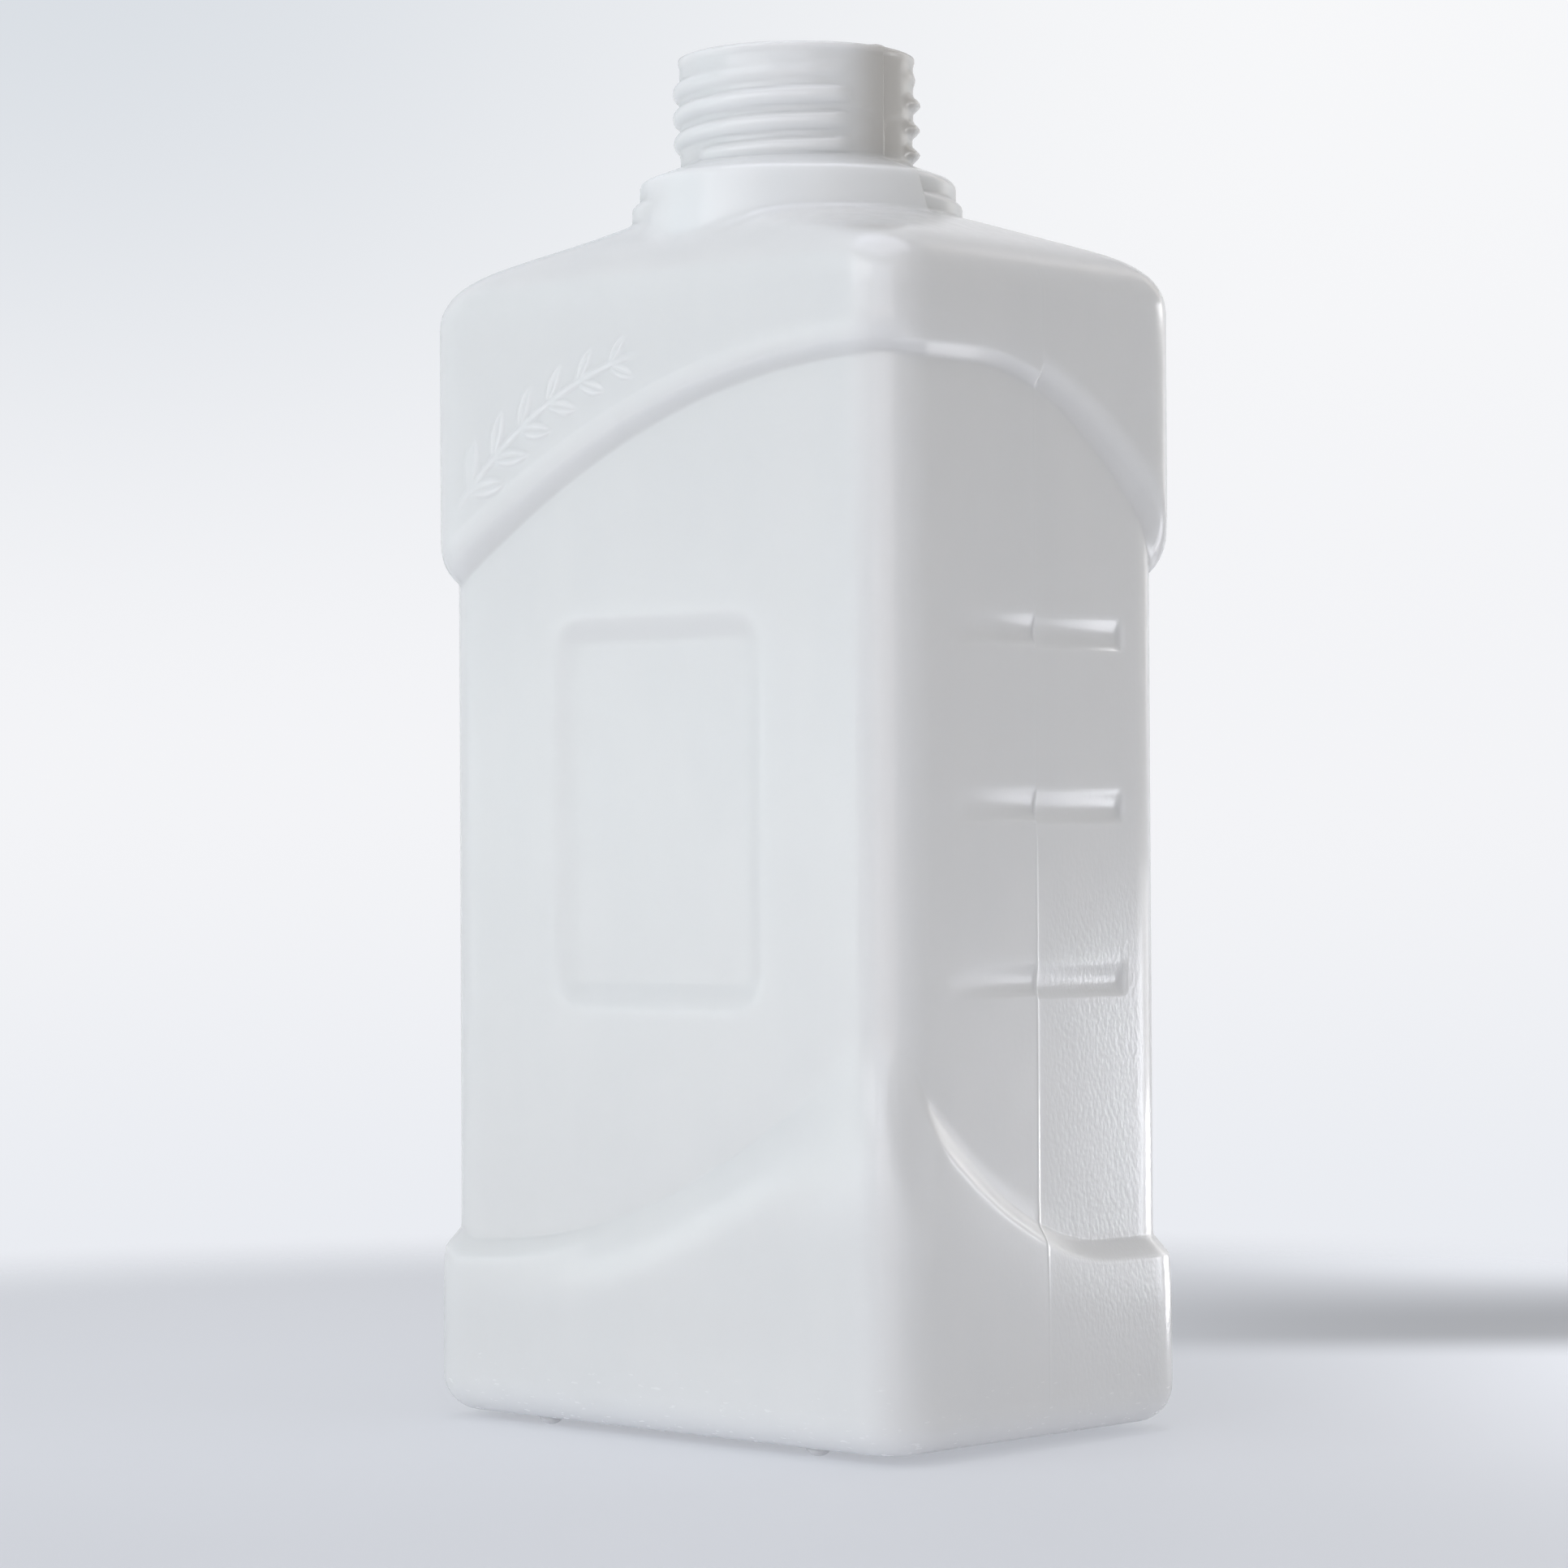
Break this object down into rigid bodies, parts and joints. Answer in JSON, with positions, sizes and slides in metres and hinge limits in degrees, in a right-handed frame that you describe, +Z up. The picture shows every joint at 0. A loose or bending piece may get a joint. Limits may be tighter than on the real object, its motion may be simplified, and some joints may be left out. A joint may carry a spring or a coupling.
{
  "type": "plastic bottle",
  "caption": "Rectangular translucent blow-moulded bottle with a recessed waist, finger grooves, label panels and an open screw neck.",
  "frame": {"origin": "on the plane that the four base pips rest on, under the neck's axis", "axes": "+Z up along the neck's axis, X along the width, Y along the depth"},
  "size_m": [0.0988, 0.0676, 0.2089],
  "materials": {
    "hdpe": "natural translucent milky white, smooth satin"
  },
  "bodies": {
    "root": {"bottle": "hdpe"}
  },
  "joints": []
}
